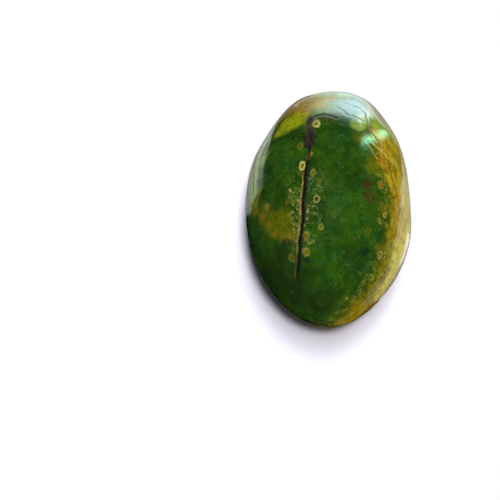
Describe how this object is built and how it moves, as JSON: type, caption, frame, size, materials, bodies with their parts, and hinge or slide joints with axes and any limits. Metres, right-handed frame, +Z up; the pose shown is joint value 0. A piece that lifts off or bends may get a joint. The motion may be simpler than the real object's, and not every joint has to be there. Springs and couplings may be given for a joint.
{
  "type": "june plum",
  "caption": "Whole, unpeeled June plum (ambarella): an oval, glossy green fruit turning golden, with a healed crack in its skin, lying on its side.",
  "frame": {"origin": "on the ground, under the middle of the fruit's outline seen from above", "axes": "+Z up, +Y along the fruit's long axis towards the stem end, +X to the right of someone facing the blossom end"},
  "size_m": [0.05, 0.0766, 0.0492],
  "materials": {
    "skin": "glossy, waxy fruit skin: mottled deep green turning golden olive along one side, with pale ringed lenticels and a brown, healed crack"
  },
  "bodies": {
    "root": {"june_plum": "skin"}
  },
  "joints": []
}
